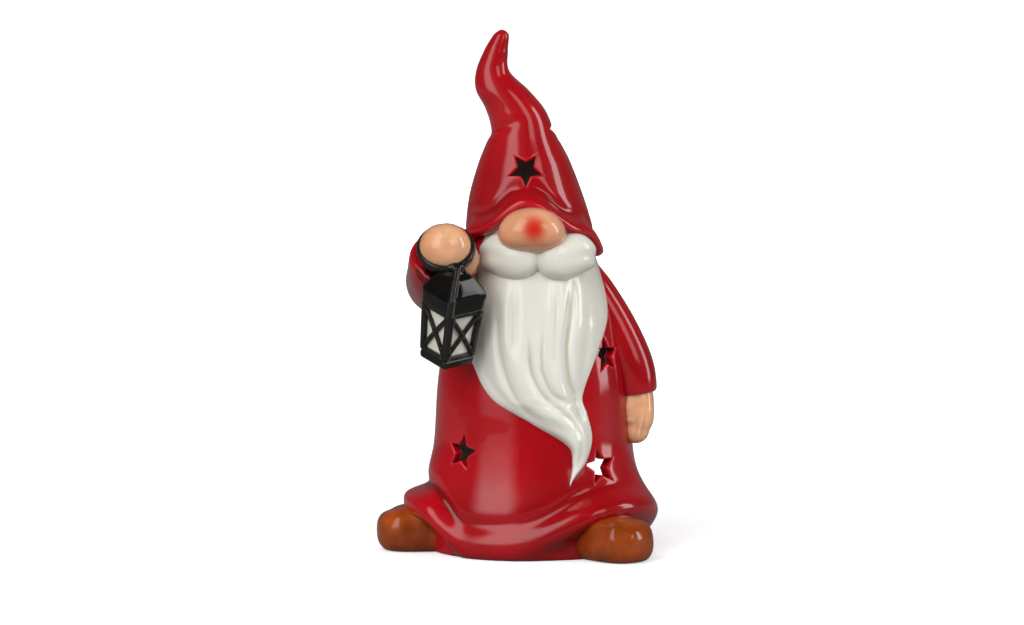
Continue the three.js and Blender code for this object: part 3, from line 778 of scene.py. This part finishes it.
def glaze(
    name,
    thin,
    body,
    pooled,
    mottle_scale,
    mottle,
    roughness,
    subsurface=0.0,
    radius=(1, 0.4, 0.2),
    hollow=False,
    coat=1.0,
):
    """A fired glaze: thin on edges, dark where it pools in creases, softly mottled between."""
    mat, tree, shader = new_material(name)
    cloud = spread(tree, noise(tree, mottle_scale, 5.0, 0.6), 0.35, 0.68)
    deep = spread(tree, noise(tree, mottle_scale * 0.22, 2.0), 0.35, 0.65)
    colour = mix(tree, cloud, body, [c * (1 - mottle) for c in body])
    colour = mix(tree, deep, colour, mix(tree, 0.5, colour, pooled))
    crease = attribute(tree, "crease")
    colour = mix(tree, spread(tree, crease, 0.12, 0.9), colour, pooled)
    colour = mix(tree, spread(tree, crease, -0.45, -1.3), colour, thin)
    if hollow:
        bare = attribute(tree, "bare")
        colour = mix(tree, bare, colour, mix(tree, cloud, (0.5, 0.46, 0.39), (0.4, 0.36, 0.3)))
        tree.links.new(spread(tree, bare, 0, 1, roughness, 0.8), shader.inputs["Roughness"])
        tree.links.new(spread(tree, bare, 0, 1, 1, 0), shader.inputs["Coat Weight"])
    tree.links.new(colour, shader.inputs["Base Color"])
    shader.inputs["Roughness"].default_value = roughness
    shader.inputs["IOR"].default_value = 1.45
    shader.inputs["Specular IOR Level"].default_value = 0.15
    shader.inputs["Coat Weight"].default_value = coat
    shader.inputs["Coat Roughness"].default_value = 0.03
    shader.inputs["Coat IOR"].default_value = 1.5
    if subsurface:
        shader.inputs["Subsurface Weight"].default_value = subsurface
        shader.inputs["Subsurface Radius"].default_value = radius
        shader.inputs["Subsurface Scale"].default_value = 0.003
    ripple(tree, shader, 55, 0.25)
    return mat


red = glaze(
    "red_glaze",
    (0.5, 0.008, 0.016),
    (0.45, 0.0015, 0.007),
    (0.18, 0.0006, 0.0015),
    60,
    0.12,
    0.3,
    hollow=True,
)
white = glaze(
    "white_glaze",
    (0.82, 0.81, 0.76),
    (0.8, 0.79, 0.72),
    (0.62, 0.59, 0.48),
    60,
    0.03,
    0.25,
    subsurface=0.25,
    radius=(1, 0.9, 0.7),
)
skin_mat = glaze(
    "skin_glaze", (0.86, 0.56, 0.38), (0.8, 0.42, 0.23), (0.6, 0.2, 0.06), 110, 0.16, 0.25, subsurface=0.15
)
brown = glaze("brown_glaze", (0.5, 0.15, 0.02), (0.42, 0.07, 0.006), (0.14, 0.02, 0.003), 75, 0.45, 0.25)
black = glaze(
    "black_glaze",
    (0.02, 0.018, 0.016),
    (0.006, 0.0055, 0.005),
    (0.002, 0.002, 0.002),
    90,
    0.3,
    0.12,
    coat=0.5,
)
pane = glaze("pane_glaze", (0.85, 0.84, 0.78), (0.8, 0.79, 0.7), (0.5, 0.47, 0.38), 150, 0.08, 0.2)


def nose_material():
    """Skin glaze with a soft round red blush in the middle of the nose."""
    thin, body, pooled = (0.84, 0.54, 0.36), (0.8, 0.41, 0.24), (0.6, 0.2, 0.08)
    mat = glaze("nose_glaze", thin, body, pooled, 110, 0.15, 0.25, subsurface=0.15)
    tree = mat.node_tree
    shader = tree.nodes["Principled BSDF"]
    base = shader.inputs["Base Color"].links[0].from_socket
    low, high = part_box("nose")
    middle = (low + high) / 2
    coords = tree.nodes.new("ShaderNodeTexCoord")
    mapping = tree.nodes.new("ShaderNodeMapping")
    mapping.vector_type = "TEXTURE"
    mapping.inputs["Location"].default_value = (middle.x + 0.001, low.y - 0.004, middle.z + 0.0015)
    mapping.inputs["Scale"].default_value = (0.0085, 0.02, 0.0095)
    tree.links.new(coords.outputs["Object"], mapping.inputs["Vector"])
    length = tree.nodes.new("ShaderNodeVectorMath")
    length.operation = "LENGTH"
    tree.links.new(mapping.outputs["Vector"], length.inputs[0])
    blush = spread(tree, length.outputs["Value"], 0.25, 1.0, 1.0, 0.0)
    colour = mix(tree, blush, base, (0.6, 0.025, 0.01))
    tree.links.new(colour, shader.inputs["Base Color"])
    return mat


nose_mat = nose_material()

# ---------------------------------------------------------------- the ceramic pieces


def wall_spot(star, reach):
    """The middle of a star window, reach out from the axis."""
    bearing = math.radians(star["bearing"])
    middle = star.get("middle", 0)
    return (middle + reach * math.sin(bearing), -reach * math.cos(bearing), star["height"])


sculpt(
    "fine_robe_shell",
    robe_field,
    (-66, -58, 0),
    (66, 56, 173),
    1.4,
    red,
    "red_glaze",
    spots=[wall_spot(star, 41) for star in ROBE_STARS],
    bare=lambda p: robe_gap(p, plain=True) + ROBE_WALL - 1.1,
)
sculpt(
    "fine_hat_shell",
    hat_field,
    (-40, -40, 138),
    (38, 40, 251),
    0.95,
    red,
    "red_glaze",
    spots=[wall_spot(star, reach) for star, reach in zip(HAT_STARS, (24, 15, 20))],
    bare=lambda p: hat_gap(p, plain=True) + HAT_WALL - 0.9,
)

# The other pieces: name, field, the corners of the box it is looked for in, the mesh's step and its glaze.
PIECES = [
    ("beard", beard_field, (-36, -52, 33), (40, 4, 164), 0.65, white, "white_glaze"),
    ("moustache_left", moustache_field(-1), (-36, -54, 130), (4, -10, 166), 0.5, white, "white_glaze"),
    ("moustache_right", moustache_field(1), (0, -54, 130), (40, -10, 166), 0.5, white, "white_glaze"),
    ("nose", nose_field, (-18, -52, 145), (17, -22, 170), 0.6, nose_mat, "nose_glaze"),
    ("hanging_sleeve", hanging_sleeve_field, (10, -18, 70), (64, 14, 150), 0.7, red, "red_glaze"),
    ("hanging_hand", hanging_hand_field, (40, -20, 46), (60, 6, 88), 0.5, skin_mat, "skin_glaze"),
    ("raised_sleeve", raised_sleeve_field, (-64, -46, 112), (-8, 20, 156), 0.7, red, "red_glaze"),
    ("raised_hand", raised_hand_field, (-58, -60, 120), (-20, -6, 166), 0.6, skin_mat, "skin_glaze"),
    ("boot_left", boot_field(LEFT_BOOT), (-78, -20, 0), (-28, 26, 23), 0.6, brown, "brown_glaze"),
    ("boot_right", boot_field(RIGHT_BOOT), (8, -66, 0), (66, -8, 23), 0.6, brown, "brown_glaze"),
    ("lantern_handle", handle_field, (-58, -64, 134), (-24, -32, 164), 0.4, black, "black_glaze"),
    ("lantern_roof", roof_field, (-66, -76, 88), (-16, -16, 150), 0.5, black, "black_glaze"),
    ("lantern_cage", cage_field, (-66, -76, 88), (-16, -16, 150), 0.4, black, "black_glaze"),
    ("lantern_core", core_field, (-66, -76, 88), (-16, -16, 150), 0.6, pane, "pane_glaze"),
    ("lantern_plate", plate_field, (-66, -76, 88), (-16, -16, 110), 0.45, black, "black_glaze"),
]
for name, field, low, high, step, material, slot in PIECES:
    sculpt("fine_" + name, field, low, high, step, material, slot)

# ---------------------------------------------------------------- the tealight, turned about the Z axis


TEALIGHT_BASE = 5.3


def at(reach, angle, height):
    """A point of the tealight, in metres, from its place round its axis and its height from its foot."""
    return (reach * math.cos(angle) * MM, reach * math.sin(angle) * MM, (height + TEALIGHT_BASE) * MM)


def smooth_piece(name, points, faces, slot, material):
    mesh = bpy.data.meshes.new(name)
    mesh.from_pydata(points, [], faces)
    mesh.update()
    for poly in mesh.polygons:
        poly.use_smooth = True
    put(bpy.data.objects.new(name, mesh), "tealight", slot, material)


def turned(name, profile, material, slot, sides=96, wave=None):
    """A body turned about the Z axis from a closed profile of (radius, height) points."""
    points = []
    for radius, height in profile:
        for angle in np.linspace(0, 2 * math.pi, sides, endpoint=False):
            reach = radius + (wave(radius, height, angle) if wave else 0)
            points.append(at(reach, angle, height))
    quads = []
    for i in range(len(profile)):
        j = (i + 1) % len(profile)
        for k in range(sides):
            m = (k + 1) % sides
            quads.append((i * sides + k, i * sides + m, j * sides + m, j * sides + k))
    smooth_piece(name, points, quads, slot, material)


def arc(centre, radius, start, end, count=6):
    angles = [math.radians(start + (end - start) * k / count) for k in range(count + 1)]
    return [(centre[0] + radius * math.cos(a), centre[1] + radius * math.sin(a)) for a in angles]


def metal(name, colour, roughness):
    mat, tree, shader = new_material(name)
    grain = spread(tree, noise(tree, 900, 4.0, 0.6), 0.3, 0.7)
    tree.links.new(mix(tree, grain, colour, [c * 0.82 for c in colour]), shader.inputs["Base Color"])
    shader.inputs["Metallic"].default_value = 1
    tree.links.new(spread(tree, grain, 0, 1, roughness, roughness + 0.14), shader.inputs["Roughness"])
    return mat


def soft_stuff(name, light, dark, scale, roughness, glow):
    mat, tree, shader = new_material(name)
    grain = spread(tree, noise(tree, scale, 4.0, 0.6), 0.3, 0.7)
    tree.links.new(mix(tree, grain, light, dark), shader.inputs["Base Color"])
    shader.inputs["Roughness"].default_value = roughness
    shader.inputs["Subsurface Weight"].default_value = glow
    shader.inputs["Subsurface Scale"].default_value = 0.002
    ripple(tree, shader, scale * 1.5, 0.15, 0.0002)
    return mat


foil = metal("cup_aluminium", (0.8, 0.81, 0.83), 0.22)
tinplate = metal("tab_steel", (0.56, 0.56, 0.57), 0.3)
paraffin = soft_stuff("paraffin", (0.88, 0.86, 0.8), (0.82, 0.8, 0.73), 260, 0.4, 0.6)
cotton = soft_stuff("cotton", (0.85, 0.82, 0.74), (0.62, 0.58, 0.5), 1800, 0.9, 0.2)


def flute(radius, height, angle):
    """Pressed flutes in the cup's side, flat at its foot and its rolled rim."""
    rise = step_up(height, 2, 4) * step_up(-height, -13.5, -11.5)
    return 0.22 * rise * math.cos(angle * 48) if radius > 17.5 else 0


def cup():
    side = [(18.72, 2 + k) for k in range(11)]
    inside = [(18.2, 12 - k) for k in range(10)]
    rim = arc((18.55, 14.2), 0.8, -90, 200, 10)
    foot = arc((17.8, 0.9), 0.9, -90, 0)
    heel = arc((17.4, 1.4), 0.8, 0, -90)
    dish = [(12, 0.9), (11, 0.75), (0.01, 0.75), (0.01, 0.25), (10.6, 0.25), (11.4, 0)]
    turned("fine_tealight_cup", foot + side + rim + inside + heel + dish, foil, "cup_aluminium", 384, flute)


def wax():
    foot = arc((16.9, 1.8), 1, -90, 0)
    pool = [(17.9, 13.0), (17.5, 12.5), (16.5, 12.25), (9, 12.1), (3, 11.9)]
    collar = [(1.9, 12.1), (1.45, 12.6), (1.35, 12.3)]
    shaft = [(1.35, 5.2), (2.3, 5.1), (2.3, 1.7), (6.4, 1.6), (6.4, 0.85)]
    turned("fine_tealight_wax", foot + pool + collar + shaft, paraffin, "paraffin")


def wick_tab():
    ring = [(1.3, 0.85), (5.4, 0.85)] + arc((5.7, 1.1), 0.22, -90, 90) + [(5.3, 1.35), (2.6, 1.4)]
    neck = arc((2.6, 1.9), 0.5, -90, -180) + [(1.95, 4.6), (1.6, 4.8), (1.3, 4.7)]
    turned("fine_tealight_wick_tab", ring + neck, tinplate, "tab_steel", 48)


def wick():
    """A braided cotton wick: two twisted strands show as a turning two-lobed section."""
    low, high, steps, sides = 0.9, 21, 120, 24
    points, faces = [at(0, 0, low)], []
    for i in range(steps + 1):
        z = low + (high - low) * i / steps
        size = 0.86 * math.sqrt(max(0.04, 1 - max(0, (z - high + 1.2) / 1.25) ** 2))
        for k in range(sides):
            angle = 2 * math.pi * k / sides
            reach = size * (1 + 0.14 * abs(math.cos(1.5 * (angle - z * 1.9))))
            points.append(at(reach, angle, z))
    for i in range(steps):
        for k in range(sides):
            a, b = 1 + i * sides + k, 1 + i * sides + (k + 1) % sides
            faces.append((a, b, b + sides, a + sides))
    points.append(at(0, 0, high))
    for k in range(sides):
        m = (k + 1) % sides
        faces.append((0, 1 + m, 1 + k))
        faces.append((len(points) - 1, 1 + steps * sides + k, 1 + steps * sides + m))
    smooth_piece("fine_tealight_wick", points, faces, "cotton", cotton)


cup()
wax()
wick_tab()
wick()

# ---------------------------------------------------------------- camera, light and floor


def maths(tree, operation, a, b):
    node = tree.nodes.new("ShaderNodeMath")
    node.operation = operation
    for socket, value in zip(node.inputs, (a, b)):
        if hasattr(value, "is_output"):
            tree.links.new(value, socket)
        else:
            socket.default_value = value
    return node.outputs[0]


# Softboxes: azimuth and height in radians, with azimuth 0 in front of the gnome, edge softness and strength.
SOFTBOXES = [
    ((-1.0, -0.36), (0.05, 1.15), 0.14, 2.8),
    ((0.5, 0.86), (0.25, 0.75), 0.05, 2.4),
    ((1.36, 1.64), (0.02, 0.68), 0.035, 5.5),
]


def room_light(tree):
    """A dark room, a little lighter behind the gnome, with softboxes before it, by direction."""
    coords = tree.nodes.new("ShaderNodeTexCoord")
    split = tree.nodes.new("ShaderNodeSeparateXYZ")
    tree.links.new(coords.outputs["Generated"], split.inputs[0])
    x, y, z = split.outputs
    azimuth = maths(tree, "ARCTAN2", x, maths(tree, "MULTIPLY", y, -1.0))
    rise = maths(tree, "ARCSINE", z, 0.0)

    def band(source, low, high, soft):
        up = spread(tree, source, low - soft, low + soft)
        return maths(tree, "MULTIPLY", up, spread(tree, source, high - soft, high + soft, 1, 0))

    total = spread(tree, y, 0.1, 0.85, 0.06, 0.14)
    for (left, right), (low, high), soft, strength in SOFTBOXES:
        box = maths(tree, "MULTIPLY", band(azimuth, left, right, soft), band(rise, low, high, soft))
        total = maths(tree, "ADD", total, maths(tree, "MULTIPLY", box, strength))
    return total


def light_world():
    """White to the camera, and the room with its softboxes to everything else."""
    world = bpy.data.worlds.new("studio")
    world.use_nodes = True
    tree = world.node_tree
    back = tree.nodes["Background"]
    back.inputs["Color"].default_value = (1, 1, 1, 1)
    back.inputs["Strength"].default_value = 1.05
    room = tree.nodes.new("ShaderNodeBackground")
    tree.links.new(room_light(tree), room.inputs["Strength"])
    path = tree.nodes.new("ShaderNodeLightPath")
    pick = tree.nodes.new("ShaderNodeMixShader")
    tree.links.new(path.outputs["Is Camera Ray"], pick.inputs[0])
    tree.links.new(room.outputs[0], pick.inputs[1])
    tree.links.new(back.outputs[0], pick.inputs[2])
    tree.links.new(pick.outputs[0], tree.nodes["World Output"].inputs["Surface"])
    bpy.context.scene.world = world
    bpy.context.scene.view_settings.view_transform = "Standard"


def lay_floor():
    """A plain floor that is white to the camera, whiter away from the gnome, and dull in its glaze."""
    bpy.ops.mesh.primitive_plane_add(size=30)
    floor = bpy.context.object
    floor.name = "studio_floor"
    mat, tree, shader = new_material("studio_floor")
    shader.inputs["Roughness"].default_value = 0.9
    shader.inputs["Emission Color"].default_value = (1, 1, 1, 1)
    coords = tree.nodes.new("ShaderNodeTexCoord")
    away = tree.nodes.new("ShaderNodeVectorMath")
    away.operation = "LENGTH"
    tree.links.new(coords.outputs["Object"], away.inputs[0])
    glow = spread(tree, away.outputs["Value"], 0.2, 2.0, 0.38, 0.8)
    seen = tree.nodes.new("ShaderNodeLightPath").outputs["Is Camera Ray"]
    tree.links.new(maths(tree, "MULTIPLY", glow, seen), shader.inputs["Emission Strength"])
    tree.links.new(mix(tree, seen, (0.22, 0.22, 0.22), (0.95, 0.95, 0.95)), shader.inputs["Base Color"])
    floor.data.materials.append(mat)


def aim(obj, place, target):
    """Puts a light or the camera at a place, turned to a target."""
    obj.location = place
    obj.rotation_euler = (target - obj.location).to_track_quat("-Z", "Y").to_euler()
    bpy.context.scene.collection.objects.link(obj)


def fill(name, place, size, power):
    """A wide soft light that adds no highlight of its own."""
    data = bpy.data.lights.new(name, "AREA")
    data.size = size
    data.energy = power
    lamp = bpy.data.objects.new(name, data)
    lamp.visible_camera = False
    lamp.visible_glossy = False
    aim(lamp, place, Vector((0, 0, 0.12)))


def place_camera():
    """A long lens 3 m away, looking down on the gnome by 6 degrees."""
    data = bpy.data.cameras.new("camera")
    data.lens = 219.9
    data.sensor_width = 36
    data.clip_end = 50
    camera = bpy.data.objects.new("camera", data)
    target = Vector((-0.010, 0, 0.114))
    lift = math.radians(6)
    aim(camera, target + 3.0 * Vector((0, -math.cos(lift), math.sin(lift))), target)
    bpy.context.scene.camera = camera


light_world()
lay_floor()
fill("front_fill", (-0.5, -1.6, 1.1), 1.4, 19)
fill("side_fill", (1.5, -0.9, 0.7), 1.2, 11)
fill("left_fill", (-1.6, -0.2, 0.7), 1.2, 8)
fill("back_fill", (0.4, 1.5, 1.2), 1.4, 12)
place_camera()
